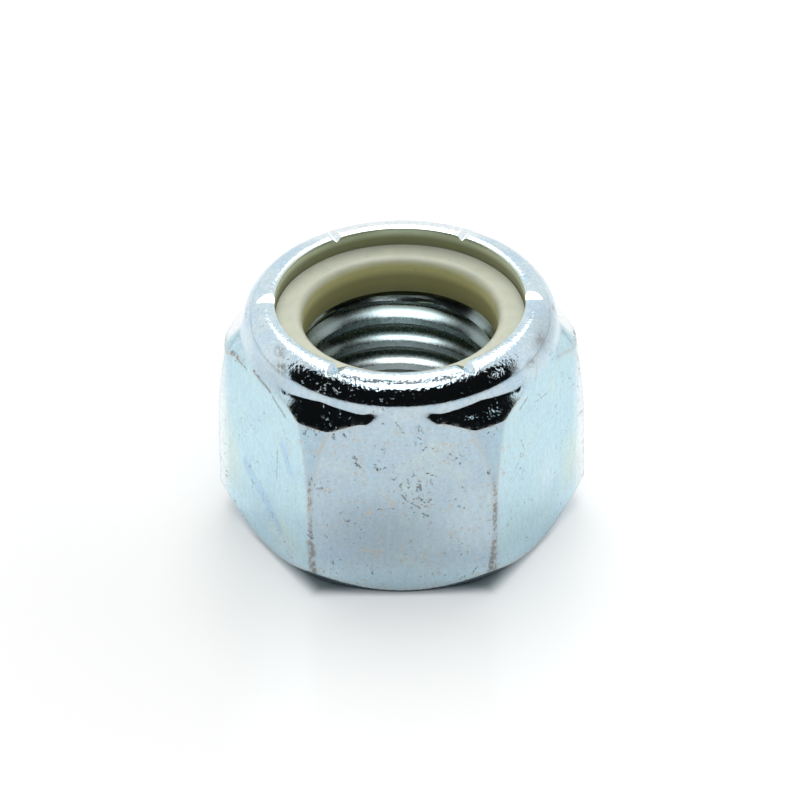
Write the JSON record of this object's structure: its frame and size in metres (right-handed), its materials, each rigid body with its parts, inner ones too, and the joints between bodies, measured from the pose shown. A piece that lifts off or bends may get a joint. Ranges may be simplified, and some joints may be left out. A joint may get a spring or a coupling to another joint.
{
  "type": "nylon insert lock nut",
  "caption": "Hexagonal steel lock nut, zinc plated, with a round crimped collar that holds a pale nylon ring gripping the bolt's thread.",
  "frame": {"origin": "centre of the bearing face, on the bolt's axis", "axes": "+Z along the bolt's axis from the bearing face to the collar, +X through a corner of the hexagon, -Y out of the front flat"},
  "size_m": [0.0328, 0.0286, 0.0223],
  "materials": {
    "zinc_plated_steel": "satin",
    "nylon": "satin"
  },
  "bodies": {
    "root": {"nut_body": "zinc_plated_steel", "nylon_ring": "nylon"}
  },
  "joints": []
}
